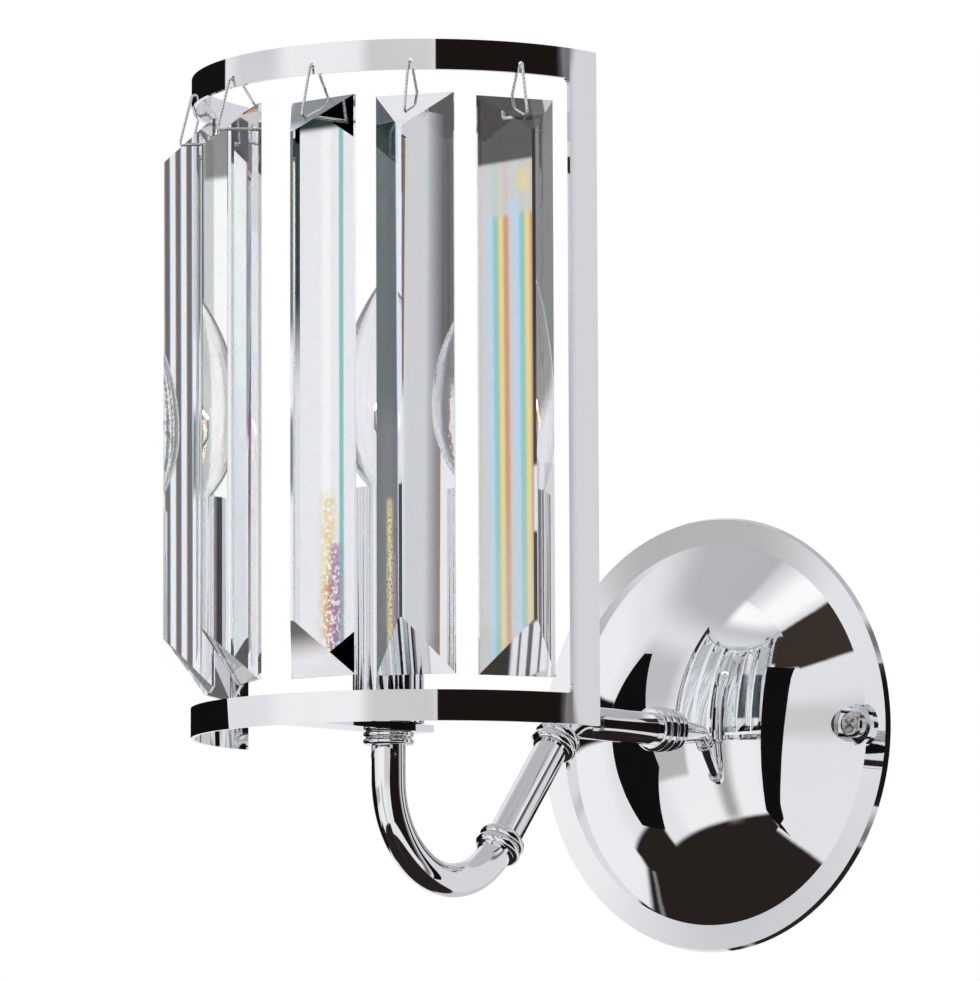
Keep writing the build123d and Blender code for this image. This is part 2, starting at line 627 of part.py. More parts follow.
def crystal(angle, turn):
    """One crystal at its place round the shade, turned a little on its link."""
    return round_shade(round_hang_line(Pos(0, CRYSTAL_BACK, 0) * CRYSTAL_BLANK, turn), angle)


def crystal_link(angle, turn):
    """Closed wire loop through the band's hole and the crystal's hole."""
    band = -SHADE_AXIS_REACH - HANG_RADIUS
    facet_depth = CRYSTAL_LAND + (CRYSTAL_DEPTH - CRYSTAL_LAND) * CRYSTAL_HOLE_DROP / CRYSTAL_TOP_DROP
    inner = CRYSTAL_BACK + LINK_SIDE_GAP + WIRE_RADIUS
    outer = CRYSTAL_BACK - facet_depth - LINK_SIDE_GAP - 2 * WIRE_RADIUS
    crown = CRYSTAL_TOP + LINK_CROWN_GAP
    loop = FilletPolyline(
        (0, band + LINK_TOP_REACH, LINK_HEIGHT),
        (0, inner, crown),
        (0, inner, CRYSTAL_HOLE_HEIGHT),
        (0, outer, CRYSTAL_HOLE_HEIGHT),
        (0, band - LINK_TOP_REACH, LINK_HEIGHT),
        radius=[LINK_BEND_RADIUS, 2 * LINK_BEND_RADIUS] + 3 * [LINK_BEND_RADIUS],
        close=True,
    )
    return round_shade(round_hang_line(swept(WIRE_RADIUS, loop), turn), angle)


# ---------------------------------------------------------------- lamp holder and sleeve
def candle_sleeve():
    """Plain tube that stands on the shade bar round the lamp holder."""
    bore = SLEEVE_RADIUS - SLEEVE_WALL
    return on_riser(pipe(SLEEVE_RADIUS, bore, SLEEVE_TOP - BAR_TOP, BAR_TOP))


def holder_body():
    """Insulating lamp holder: threaded base, hollow shank, partition and mouth."""
    body = rod(HOLDER_RADIUS, HOLDER_TOP - HOLDER_BOTTOM, HOLDER_BOTTOM)
    body -= rod(NIPPLE_RADIUS + SLIP_GAP, HOLDER_BASE_TOP - HOLDER_BOTTOM, HOLDER_BOTTOM)
    body -= rod(HOLDER_CAVITY_RADIUS, PARTITION_BOTTOM - HOLDER_BASE_TOP, HOLDER_BASE_TOP)
    body -= rod(CONTACT_POST_RADIUS, PARTITION_TOP - PARTITION_BOTTOM, PARTITION_BOTTOM)
    body -= Pos(SOCKET_CORE_X, 0, 0) * rod(CORE_RADIUS + SLIP_GAP, SOCKET_BOTTOM - PARTITION_BOTTOM,
                                           PARTITION_BOTTOM)
    body -= rod(HOLDER_MOUTH_RADIUS, HOLDER_TOP - PARTITION_TOP, PARTITION_TOP)
    return on_riser(body)


SOCKET_CORE_X = (SOCKET_FOOT_RADIUS + HOLDER_MOUTH_RADIUS) / 2


def holder_shell():
    """Brass socket shell that takes the bulb's cap."""
    shell = pipe(HOLDER_MOUTH_RADIUS, SOCKET_BORE, SOCKET_TOP - SOCKET_BOTTOM, SOCKET_BOTTOM)
    foot = pipe(HOLDER_MOUTH_RADIUS, SOCKET_FOOT_RADIUS, SOCKET_FOOT_SHEET, SOCKET_BOTTOM)
    return on_riser(shell + foot)


BUTTON_BOTTOM = BUTTON_TOP - BUTTON_HEIGHT
CONTACT_TOP = BUTTON_BOTTOM - CONTACT_GAP


def holder_contact():
    """Centre contact, riveted through the partition."""
    disc_base = CONTACT_TOP - CONTACT_SHEET
    contact = rod(CONTACT_DISC_RADIUS, CONTACT_SHEET, disc_base)
    contact += rod(CONTACT_POST_RADIUS, disc_base - PARTITION_BOTTOM, PARTITION_BOTTOM)
    contact += rod(2 * CONTACT_POST_RADIUS, CONTACT_SHEET, PARTITION_BOTTOM - CONTACT_SHEET)
    return on_riser(contact)


# ---------------------------------------------------------------- candle bulb
def glass_solid(wall):
    """Outside of the bulb's glass, or its inside where wall isn't zero."""
    neck = GLASS_NECK_RADIUS - wall
    belly = GLASS_BELLY_RADIUS - wall
    tip = GLASS_TIP_RADIUS
    low = GLASS_NECK_TOP
    high = GLASS_TIP_HEIGHT - wall - tip
    lower_span = GLASS_BELLY_HEIGHT - low
    lower_radius = (lower_span ** 2 + (belly - neck) ** 2) / (2 * (belly - neck))
    upper_span = high - GLASS_BELLY_HEIGHT
    upper_radius = (upper_span ** 2 + (belly - tip) ** 2) / (2 * (belly - tip))

    def flank(radius, height):
        return (belly - radius + sqrt(radius ** 2 - (height - GLASS_BELLY_HEIGHT) ** 2), height)

    lower = ThreePointArc((neck, low), flank(lower_radius, (low + GLASS_BELLY_HEIGHT) / 2),
                          (belly, GLASS_BELLY_HEIGHT))
    upper = ThreePointArc(lower @ 1, flank(upper_radius, (high + GLASS_BELLY_HEIGHT) / 2), (tip, high))
    cap = ThreePointArc(upper @ 1, (tip * sin(pi / 4), high + tip * cos(pi / 4)), (0, high + tip))
    close = Polyline(cap @ 1, (0, GLASS_NECK_BOTTOM), (neck, GLASS_NECK_BOTTOM), lower @ 0)
    return revolve(Plane.XZ * make_face(lower + upper + cap + close), Axis.Z)


def bulb_glass():
    """Clear candle-shaped glass with an open neck."""
    return on_riser(glass_solid(0.0) - glass_solid(GLASS_WALL))


def bulb_cap():
    """Screw cap with rolled thread ridges and a flared skirt."""
    core = CAP_RADIUS - THREAD_DEPTH
    cap = rod(core, CAP_SKIRT_BOTTOM - CAP_BOTTOM, CAP_BOTTOM)
    for turn in range(THREAD_TURNS):
        height = CAP_BOTTOM + THREAD_PITCH * (turn + 0.5)
        cap += Pos(0, 0, height) * Torus(core - THREAD_DEPTH / 2, THREAD_DEPTH * 1.5)
    skirt_height = CAP_SKIRT_TOP - CAP_SKIRT_BOTTOM
    skirt = Cone(core, CAP_SKIRT_RADIUS, skirt_height, align=(Align.CENTER, Align.CENTER, Align.MIN))
    cap += Pos(0, 0, CAP_SKIRT_BOTTOM) * skirt
    cap -= rod(GLASS_NECK_RADIUS, CAP_SKIRT_BOTTOM - CAP_BOTTOM, CAP_BOTTOM)
    bore = Cone(GLASS_NECK_RADIUS, CAP_SKIRT_RADIUS - CAP_WALL, skirt_height,
                align=(Align.CENTER, Align.CENTER, Align.MIN))
    cap -= Pos(0, 0, CAP_SKIRT_BOTTOM) * bore
    return on_riser(cap - glass_solid(0.0))


def bulb_insulator():
    """Glass plug that closes the cap round the base contact."""
    height = CAP_BOTTOM - BUTTON_TOP
    plug = Cone(INSULATOR_RADIUS, CAP_RADIUS - THREAD_DEPTH, height, align=(Align.CENTER, Align.CENTER, Align.MIN))
    return on_riser(Pos(0, 0, BUTTON_TOP) * plug)


def bulb_button():
    """Solder contact in the middle of the bulb's base."""
    button = rod(BUTTON_RADIUS, BUTTON_HEIGHT, BUTTON_BOTTOM)
    return on_riser(fillet(button.edges().sort_by(Axis.Z)[0], BUTTON_HEIGHT / 2))


def bulb_stem():
    """Glass foot inside the neck that carries the lead wires."""
    flare = Cone(GLASS_NECK_RADIUS - GLASS_WALL, STEM_RADIUS, STEM_FLARE_HEIGHT,
                 align=(Align.CENTER, Align.CENTER, Align.MIN))
    stem = Pos(0, 0, GLASS_NECK_BOTTOM) * flare
    stem += rod(STEM_RADIUS, STEM_TOP - GLASS_NECK_BOTTOM, GLASS_NECK_BOTTOM)
    return on_riser(fillet(stem.edges().sort_by(Axis.Z)[-1], STEM_RADIUS / 2))


def lead_wires():
    """Two stiff wires from the stem up to the filament's ends."""
    wires = []
    for side in (-1, 1):
        foot = side * STEM_RADIUS / 2
        path = FilletPolyline((foot, 0, STEM_TOP), (foot, 0, STEM_TOP + LEAD_SPREAD / 3),
                              (side * LEAD_SPREAD, 0, LEAD_TOP - LEAD_SPREAD), (side * LEAD_SPREAD, 0, LEAD_TOP),
                              radius=LEAD_SPREAD / 3)
        wires.append(on_riser(swept(LEAD_RADIUS, path)))
    return Compound(children=wires)


def filament():
    """Coiled filament, drawn as the solid round envelope of its coil, arched between the leads."""
    base = LEAD_TOP + FILAMENT_RADIUS
    arch = ThreePointArc((-LEAD_SPREAD, 0, base), (0, 0, base + FILAMENT_RISE), (LEAD_SPREAD, 0, base))
    return on_riser(swept(FILAMENT_RADIUS, arch))


# ---------------------------------------------------------------- wires inside the arm
def core(side, pole, holder_end):
    """One insulated wire from the terminal block through the arm to the lamp holder."""
    x = side * CORE_OFFSET
    entry = PLATE_SHEET + ROOT_NIPPLE_INSIDE + CORE_ENTRY_LEAD - DOME_HEIGHT
    neck = neck_arc(x)
    bend = u_arc(x)
    start = FilletPolyline((pole, -POLE_HEIGHT, BLOCK_BOTTOM), (pole, -POLE_HEIGHT, 0), (x, entry, 0), neck @ 1,
                           radius=[CORE_BEND_RADIUS, CORE_ENTRY_BEND])
    finish = FilletPolyline(bend @ 0, (x, -LAMP_REACH, BAR_TOP + NUT_HEIGHT), (holder_end.X, -LAMP_REACH, CORE_LEVEL),
                            (holder_end.X, -LAMP_REACH, holder_end.Z), radius=CORE_BEND_RADIUS)
    stretches = (start, neck, Line(neck @ 0, bend @ 1), bend, finish)
    return swept(CORE_RADIUS, Wire([edge for stretch in stretches for edge in stretch.edges()]))


# ---------------------------------------------------------------- build and write
os.makedirs(OUT, exist_ok=True)

save("backplate", backplate())
save("plate_screws", plate_screws())
save("wall_bracket", wall_bracket())
save("earth_washer", earth_washer())
save("earth_screw", earth_screw())
save("terminal_block", terminal_block())
save("terminal_tubes", terminal_tubes())
save("terminal_screws", terminal_screws())

save("root_nipple", root_nipple())
save("root_washer", root_washer())
save("root_lock_nut", root_lock_nut())
save("root_collar", arm_collar(Vector(0, -ROOT_COLLAR_HEIGHT, 0), Vector(0, -1, 0), upper_path()))
save("upper_arm_tube", upper_arm_tube())
save("upper_arm_collar", arm_collar(UPPER_COLLAR, ARM_WAY, upper_path()))
save("straight_arm_tube", straight_arm_tube())
save("lower_arm_collar", arm_collar(LOWER_COLLAR, ARM_WAY, lower_path()))
save("lower_arm_tube", lower_arm_tube())
save("grub_screws", grub_screws())

save("riser_collar", riser_collar())
save("shade_bar", shade_bar())
save("shade_frame", shade_frame())
save("holder_nipple", holder_nipple())
save("holder_washer", holder_washer())
save("holder_lock_nut", holder_lock_nut())
save("lamp_holder_body", holder_body())
save("lamp_holder_shell", holder_shell())
save("lamp_holder_contact", holder_contact())
save("candle_sleeve", candle_sleeve())

for number, (hang_angle, hang_turn) in enumerate(zip(CRYSTAL_ANGLES_DEG, CRYSTAL_TURNS_DEG), start=1):
    save("crystal_link_%d" % number, crystal_link(hang_angle, hang_turn))
    save("crystal_%d" % number, crystal(hang_angle, hang_turn))

save("bulb_glass", bulb_glass())
save("bulb_screw_cap", bulb_cap())
save("bulb_insulator", bulb_insulator())
save("bulb_base_contact", bulb_button())
save("bulb_stem", bulb_stem())
save("bulb_lead_wires", lead_wires())
save("bulb_filament", filament())

save("live_wire", core(-1, POLE_PLACES[0], Vector(0, 0, PARTITION_BOTTOM - CONTACT_SHEET)))
save("neutral_wire", core(1, POLE_PLACES[-1], Vector(SOCKET_CORE_X, 0, SOCKET_BOTTOM)))

print("pivots: hang radius", HANG_RADIUS, "link height", LINK_HEIGHT, "crystal hole", CRYSTAL_HOLE_HEIGHT)
print("crystal back", round(-CRYSTAL_BACK - SHADE_AXIS_REACH, 3), "top", CRYSTAL_TOP, "base", CRYSTAL_BASE)
print("dome height", round(DOME_HEIGHT, 3), "arm root collar", round(ROOT_COLLAR_HEIGHT, 3))
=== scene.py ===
import math
import bpy
from mathutils import Matrix, Vector


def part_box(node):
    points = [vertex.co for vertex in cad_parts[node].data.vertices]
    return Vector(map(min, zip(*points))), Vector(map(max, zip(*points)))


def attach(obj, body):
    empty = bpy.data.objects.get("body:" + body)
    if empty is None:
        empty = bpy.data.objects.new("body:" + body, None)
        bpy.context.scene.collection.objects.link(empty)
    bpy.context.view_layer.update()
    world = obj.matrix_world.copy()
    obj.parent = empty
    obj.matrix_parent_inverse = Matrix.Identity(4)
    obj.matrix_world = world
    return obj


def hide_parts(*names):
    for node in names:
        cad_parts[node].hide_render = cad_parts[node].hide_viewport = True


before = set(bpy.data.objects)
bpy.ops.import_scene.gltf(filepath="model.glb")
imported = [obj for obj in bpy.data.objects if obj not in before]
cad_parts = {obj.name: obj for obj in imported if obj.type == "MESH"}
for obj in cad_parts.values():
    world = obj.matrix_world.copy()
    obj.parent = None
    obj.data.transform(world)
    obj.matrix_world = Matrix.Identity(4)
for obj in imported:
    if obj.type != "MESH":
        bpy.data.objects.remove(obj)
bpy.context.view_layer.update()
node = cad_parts

# ---- The view: a long lens a little below the light, some forty degrees round from straight
# ahead, level apart from a slight tilt up.
YAW, PITCH, ROLL = math.radians(39.78), math.radians(6.67), math.radians(-0.23)
LENS_MM, FILM_MM = 226.87, 36.0
VIEW_SHIFT = (0.0022, -0.0005)
VIEWPOINT = (1.4067, -1.8213, -0.1768)
look = Vector((-math.sin(YAW) * math.cos(PITCH), math.cos(YAW) * math.cos(PITCH), math.sin(PITCH)))
level = Vector((math.cos(YAW), math.sin(YAW), 0.0))
top = level.cross(look)
across = math.cos(ROLL) * level + math.sin(ROLL) * top
upright = math.cos(ROLL) * top - math.sin(ROLL) * level
lens = bpy.data.cameras.new("viewpoint")
lens.lens, lens.sensor_width = LENS_MM, FILM_MM
lens.shift_x, lens.shift_y = VIEW_SHIFT
viewpoint = bpy.data.objects.new("viewpoint", lens)
bpy.context.scene.collection.objects.link(viewpoint)
turn = Matrix((across, upright, -look)).transposed()
viewpoint.matrix_world = Matrix.Translation(VIEWPOINT) @ turn.to_4x4()
bpy.context.scene.camera = viewpoint
bpy.context.scene.view_settings.view_transform = "Standard"

# ---- The room round the light: pale walls, a dark floor, a dark beam and doorways. The polished
# metal mirrors one set of panels, and the glass gathers a plainer set.
world = bpy.data.worlds.new("studio")
bpy.context.scene.world = world
world.use_nodes = True
room = world.node_tree
room.nodes.clear()


def arithmetic(tree, kind, *values):
    """One Math node, fed with numbers or sockets."""
    step = tree.nodes.new("ShaderNodeMath")
    step.operation = kind
    for socket, value in zip(step.inputs, values):
        if isinstance(value, (int, float)):
            socket.default_value = value
        else:
            tree.links.new(value, socket)
    return step.outputs[0]


def ramp_between(tree, value, low, high):
    """A smooth rise from 0 to 1 between two values."""
    rise = tree.nodes.new("ShaderNodeMapRange")
    rise.interpolation_type = "SMOOTHSTEP"
    tree.links.new(value, rise.inputs["Value"])
    rise.inputs["From Min"].default_value = low
    rise.inputs["From Max"].default_value = high
    return rise.outputs[0]


def window_in(tree, value, low, high, soft):
    """1 between two values and 0 outside them, with soft edges."""
    rise = ramp_between(tree, value, low - soft, low + soft)
    fall = ramp_between(tree, value, high - soft, high + soft)
    return arithmetic(tree, "SUBTRACT", rise, fall)


def blend_colours(tree, share, first, second):
    """Mixes two colours, each a socket or three numbers, by a share that is a socket."""
    layer = tree.nodes.new("ShaderNodeMix")
    layer.data_type = "RGBA"
    tree.links.new(share, layer.inputs["Factor"])
    for name, colour in (("A", first), ("B", second)):
        if isinstance(colour, tuple):
            layer.inputs[name].default_value = (*colour, 1)
        else:
            tree.links.new(colour, layer.inputs[name])
    return layer.outputs["Result"]


def painted_room(base, panels):
    """Lays the panels over the base colour: ranges round and up in degrees, edge, colour."""
    paint = base
    for sides, heights, soft, tint in panels:
        beside = window_in(room, round_angle, *sides, soft)
        above = window_in(room, height_angle, *heights, soft)
        paint = blend_colours(room, arithmetic(room, "MULTIPLY", beside, above), paint, tint)
    return paint


where = room.nodes.new("ShaderNodeTexCoord")
parts = room.nodes.new("ShaderNodeSeparateXYZ")
room.links.new(where.outputs["Generated"], parts.inputs[0])
ahead = arithmetic(room, "MULTIPLY", parts.outputs["Y"], -1.0)
round_angle = arithmetic(room, "DEGREES", arithmetic(room, "ARCTAN2", parts.outputs["X"], ahead))
height_angle = arithmetic(room, "DEGREES", arithmetic(room, "ARCSINE", parts.outputs["Z"]))
MIRRORED_PANELS = (
    ((-40, 12), (-46, 30), 5.0, (0.95, 0.95, 0.96)),
    ((-112, -78), (-30, 30), 5.0, (0.93, 0.94, 0.96)),
    ((-66, -34), (10, 34), 7.0, (0.56, 0.57, 0.59)),
    ((-62, -26), (-14, -1.6), 1.5, (0.52, 0.51, 0.51)),
    ((12, 47), (-1, 14), 5.0, (0.68, 0.66, 0.65)),
    ((-200, 200), (44, 95), 9.0, (0.52, 0.52, 0.54)),
    ((-22, 34), (50, 61), 4.0, (1.1, 1.1, 1.1)),
    ((3, 60), (35, 40), 0.8, (0.045, 0.034, 0.027)),
    ((9, 60), (33, 46), 0.8, (0.052, 0.040, 0.031)),
    ((17, 60), (31, 51), 0.8, (0.045, 0.034, 0.027)),
    ((-200, 14), (-95, -36), 1.2, (0.022, 0.017, 0.015)),
    ((14, 200), (-95, -46), 1.2, (0.022, 0.017, 0.015)),
    ((-84, -54), (-60, -25), 1.2, (0.022, 0.017, 0.015)),
    ((-100, -84), (-60, -30), 1.2, (0.022, 0.017, 0.015)),
    ((47, 115), (-30, 29), 0.4, (0.012, 0.008, 0.007)),
    ((115, 200), (-46, 50), 2.0, (0.74, 0.73, 0.76)),
    ((113, 121), (-46, 50), 3.0, (0.20, 0.19, 0.20)),
    ((-200, -140), (-46, 50), 2.0, (0.62, 0.61, 0.64)),
    ((-140, -75), (3, 13), 0.6, (0.008, 0.007, 0.007)),
    ((-12, -4), (-36, 0), 3.5, (0.42, 0.41, 0.41)),
)
GATHERED_PANELS = (
    ((-200, 200), (28, 95), 3.0, (0.52, 0.53, 0.56)),
    ((-200, 200), (-95, -18), 3.0, (0.10, 0.115, 0.11)),
    ((30, 60), (8.0, 28), 0.5, (0.020, 0.035, 0.035)),
)
ROOM_WALLS = (0.85, 0.86, 0.88)
STREAK_SCALE, STREAK_DETAIL = 0.7, 5.0
rooms = painted_room(ROOM_WALLS, MIRRORED_PANELS)
# The glass gathers upright streaks: a middling grey-blue, broken by paler and deeper ones.
streaks = room.nodes.new("ShaderNodeTexNoise")
streaks.noise_dimensions = "1D"
streaks.inputs["Scale"].default_value = STREAK_SCALE
streaks.inputs["Detail"].default_value = STREAK_DETAIL
room.links.new(round_angle, streaks.inputs["W"])
pale_streak = ramp_between(room, streaks.outputs["Fac"], 0.50, 0.58)
deep_streak = ramp_between(room, streaks.outputs["Fac"], 0.44, 0.36)
far_glass = blend_colours(room, pale_streak, (0.70, 0.71, 0.76), (0.95, 0.96, 0.99))
far_glass = blend_colours(room, deep_streak, far_glass, (0.48, 0.52, 0.55))
glass_rooms = painted_room(far_glass, GATHERED_PANELS)
ray = room.nodes.new("ShaderNodeLightPath")
rooms = blend_colours(room, ray.outputs["Is Transmission Ray"], rooms, glass_rooms)
rooms = blend_colours(room, ray.outputs["Is Camera Ray"], rooms, (1.0, 1.0, 1.0))
glow = room.nodes.new("ShaderNodeBackground")
room.links.new(rooms, glow.inputs["Color"])
sky = room.nodes.new("ShaderNodeOutputWorld")
room.links.new(glow.outputs[0], sky.inputs["Surface"])

# ---- The stage: a white wall that shows from the front only, a pale floor, a softbox, black cards
# that the metal mirrors and striped sheets that only the crystals gather.
WALL_GAP = 0.0006
FLOOR_HEIGHT, FLOOR_FRONT = -0.6, -2.5
REACH = 2.0


def flat_sheet(name, corners, made):
    """A stage sheet through its corners."""
    mesh = bpy.data.meshes.new(name)
    mesh.from_pydata(corners, [], [range(len(corners))])
    mesh.materials.append(made)
    sheet = bpy.data.objects.new(name, mesh)
    bpy.context.scene.collection.objects.link(sheet)
    sheet.visible_glossy = False
    return sheet


def empty_material(name):
    """A material with no nodes yet, and its node tree."""
    made = bpy.data.materials.new(name)
    made.use_nodes = True
    made.node_tree.nodes.clear()
    return made, made.node_tree


white_wall, tree = empty_material("white_wall")
lit = tree.nodes.new("ShaderNodeEmission")
clear = tree.nodes.new("ShaderNodeBsdfTransparent")
facing = tree.nodes.new("ShaderNodeNewGeometry")
choose = tree.nodes.new("ShaderNodeMixShader")
end = tree.nodes.new("ShaderNodeOutputMaterial")
tree.links.new(facing.outputs["Backfacing"], choose.inputs[0])
tree.links.new(lit.outputs[0], choose.inputs[1])
tree.links.new(clear.outputs[0], choose.inputs[2])
tree.links.new(choose.outputs[0], end.inputs["Surface"])
wall = flat_sheet("wall", [(-REACH, WALL_GAP, FLOOR_HEIGHT), (REACH, WALL_GAP, FLOOR_HEIGHT),
                           (REACH, WALL_GAP, REACH), (-REACH, WALL_GAP, REACH)], white_wall)
wall.visible_transmission = False

pale_floor = bpy.data.materials.new("pale_floor")
pale_floor.use_nodes = True
shader = pale_floor.node_tree.nodes["Principled BSDF"]
shader.inputs["Base Color"].default_value = (0.75, 0.75, 0.75, 1)
shader.inputs["Roughness"].default_value = 0.8
floor = flat_sheet("floor", [(-REACH, FLOOR_FRONT, FLOOR_HEIGHT),
                             (REACH, FLOOR_FRONT, FLOOR_HEIGHT),
                             (REACH, REACH, FLOOR_HEIGHT),
                             (-REACH, REACH, FLOOR_HEIGHT)], pale_floor)
floor.visible_transmission = False

SOFTBOX_SIZE, SOFTBOX_POWER = 0.9, 14.0
SOFTBOX_PLACE, SOFTBOX_TARGET = (-0.75, -1.1, 1.05), (0.0, -0.05, 0.0)
softbox = bpy.data.lights.new("softbox", "AREA")
softbox.size = SOFTBOX_SIZE
softbox.energy = SOFTBOX_POWER
softbox_place = bpy.data.objects.new("softbox", softbox)
bpy.context.scene.collection.objects.link(softbox_place)
softbox_place.location = SOFTBOX_PLACE
aim = Vector(SOFTBOX_TARGET) - softbox_place.location
softbox_place.rotation_euler = aim.to_track_quat("-Z", "Y").to_euler()
softbox_place.visible_glossy = False
softbox_place.visible_transmission = False

# Two black cards close to the light, which only the polished metal mirrors. Corners in mm.
black_card, tree = empty_material("black_card")
lit = tree.nodes.new("ShaderNodeEmission")
lit.inputs["Color"].default_value = (0.006, 0.005, 0.005, 1)
end = tree.nodes.new("ShaderNodeOutputMaterial")
tree.links.new(lit.outputs[0], end.inputs["Surface"])
DOOR_CARD = ((56.5, -120, -101), (72.4, -120, -148), (101, -120, 92), (63.4, -120, 86))
SIDE_CARD = ((-222, -123, 157), (-193, -70, 47), (-199, -82, -22), (-212, -105, -127),
             (-277, -225, -231), (-427, -499, -112), (-247, -169, 190))
for name, corners in (("door_card", DOOR_CARD), ("side_card", SIDE_CARD)):
    metres = [tuple(distance / 1000 for distance in corner) for corner in corners]
    card = flat_sheet(name, metres, black_card)
    card.visible_glossy = True
    card.visible_camera = False
    card.visible_diffuse = False
    card.visible_transmission = False
    card.visible_shadow = False

# Striped sheets close to the shade stand for what the crystals gather: one behind it, one behind
# its right end and one to its front left. Each stripe: where it ends across in mm, and its colour.
# Patches laid over them: ranges across and up in mm, edge, colour, and share or None for specks.
STRIPE_EDGE = 0.4
SPECK_SCALE, SPECK_DETAIL = 950.0, 6.0
SHEET_FOOT, SHEET_TOP = -0.15, 0.35
WHITE, PALE, GREY = (0.95, 0.95, 0.95), (0.85, 0.85, 0.90), (0.60, 0.60, 0.60)
SMOKE, DUSKY, BOTTLE = (0.12, 0.12, 0.12), (0.05, 0.045, 0.04), (0.025, 0.045, 0.045)
VIOLET, SKY, TEAL = (0.35, 0.20, 0.40), (0.45, 0.65, 0.85), (0.25, 0.55, 0.55)
STRAW, RUST = (0.80, 0.65, 0.25), (0.60, 0.30, 0.15)


def even_stripes(start, width, *tints):
    """Stripes of one width, side by side."""
    return tuple((start + width * (step + 1), tint) for step, tint in enumerate(tints))


BEHIND = (
    (-48, PALE), (-40, GREY), (-24, BOTTLE), (-2, DUSKY), (4, SMOKE), (9, GREY), (16, WHITE),
    (20, GREY), (38, BOTTLE),
) + even_stripes(38, 3, *(PALE, SMOKE) * 3)
BEHIND_RIGHT = even_stripes(52, 1.5, *(GREY, SKY, TEAL, STRAW, RUST) * 2)
FRONT_LEFT = even_stripes(-62, 4, PALE, WHITE, PALE) + ((-48, TEAL),)


def striped_sheet(name, depth, left, right, stripes, last, patches):
    """A glowing upright sheet at one depth, seen only through the crystals."""
    made, tree = empty_material(name)
    place = tree.nodes.new("ShaderNodeNewGeometry")
    steps = tree.nodes.new("ShaderNodeSeparateXYZ")
    tree.links.new(place.outputs["Position"], steps.inputs[0])
    across = arithmetic(tree, "MULTIPLY", steps.outputs["X"], 1000.0)
    up = arithmetic(tree, "MULTIPLY", steps.outputs["Z"], 1000.0)
    paint = last
    for limit, tint in reversed(stripes):
        beyond = ramp_between(tree, across, limit - STRIPE_EDGE, limit + STRIPE_EDGE)
        paint = blend_colours(tree, beyond, tint, paint)
    for sides, heights, soft, tint, share in patches:
        shape = arithmetic(tree, "MULTIPLY", window_in(tree, across, *sides, soft),
                           window_in(tree, up, *heights, soft))
        if share is None:
            specks = tree.nodes.new("ShaderNodeTexNoise")
            specks.inputs["Scale"].default_value = SPECK_SCALE
            specks.inputs["Detail"].default_value = SPECK_DETAIL
            tree.links.new(place.outputs["Position"], specks.inputs["Vector"])
            share = ramp_between(tree, specks.outputs["Fac"], 0.38, 0.55)
        paint = blend_colours(tree, arithmetic(tree, "MULTIPLY", shape, share), paint, tint)
    lit = tree.nodes.new("ShaderNodeEmission")
    end = tree.nodes.new("ShaderNodeOutputMaterial")
    tree.links.new(paint, lit.inputs["Color"])
    tree.links.new(lit.outputs[0], end.inputs["Surface"])
    sheet = flat_sheet(name, [(left, depth, SHEET_FOOT), (right, depth, SHEET_FOOT),
                              (right, depth, SHEET_TOP), (left, depth, SHEET_TOP)], made)
    sheet.visible_camera = False
    sheet.visible_diffuse = False
    sheet.visible_shadow = False


striped_sheet("sheet_behind", -0.100, -0.5, 0.5, BEHIND, PALE, (
    ((-600, -105), (150, 400), 8.0, SMOKE, 1.0),
    ((-145, -98), (90, 120), 5.0, BOTTLE, 0.8),
    ((24, 38), (-200, 112), 9.0, SMOKE, 0.8),
    ((30, 34), (20, 80), 1.5, STRAW, None),
    ((34, 36), (20, 60), 1.0, VIOLET, None),
    ((-8, 8), (68, 92), 1.0, PALE, 0.95),
    ((-5, -4), (68, 92), 0.4, DUSKY, 0.9),
    ((-1, 1), (68, 92), 0.4, DUSKY, 0.9),
    ((4, 5), (68, 92), 0.4, DUSKY, 0.9),
    ((2, 20), (206, 300), 1.5, SMOKE, 0.85),
))
striped_sheet("sheet_behind_right", -0.150, 0.0465, 0.0755, BEHIND_RIGHT, GREY, (
    ((40, 90), (172, 192), 1.6, GREY, 0.8),
    ((62, 65), (180, 188), 1.6, STRAW, 0.8),
    ((59, 62), (172, 176), 1.2, SKY, 0.8),
    ((40, 90), (191, 400), 1.0, DUSKY, 1.0),
    ((40, 90), (-100, 60), 25.0, GREY, 0.3),
))
striped_sheet("sheet_front_left", -0.330, -0.075, -0.030, FRONT_LEFT, PALE, (
    ((-90, -45), (214, 400), 1.5, BOTTLE, 1.0),
    ((-58, -52), (30, 80), 3.5, STRAW, None),
    ((-57, -50), (16, 50), 4.0, RUST, None),
    ((-54, -49), (22, 62), 2.5, VIOLET, None),
))

# ---- Backplate: a disc spun from thin sheet into a dome with a flat rim, with two pads pressed
# in for the screws, then polished and chrome plated. Faint spinning rings stay under the plating.
CHROME, CHROME_CLOUD = (0.90, 0.90, 0.91), (0.84, 0.85, 0.87)
NOISE_LOW, NOISE_HIGH = 0.3, 0.7


def shaded_material(name, colour, metal, rough):
    """A material on the standard shader, its node tree and its shader."""
    made = bpy.data.materials.new(name)
    made.use_nodes = True
    shader = made.node_tree.nodes["Principled BSDF"]
    shader.inputs["Base Color"].default_value = (*colour, 1)
    shader.inputs["Metallic"].default_value = metal
    shader.inputs["Roughness"].default_value = rough
    return made, made.node_tree, shader


def own_coordinates(tree, stretch=(1, 1, 1)):
    """The piece's own coordinates in metres, stretched on each axis."""
    source = tree.nodes.new("ShaderNodeTexCoord")
    scaled = tree.nodes.new("ShaderNodeMapping")
    scaled.inputs["Scale"].default_value = stretch
    tree.links.new(source.outputs["Object"], scaled.inputs["Vector"])
    return scaled.outputs[0]


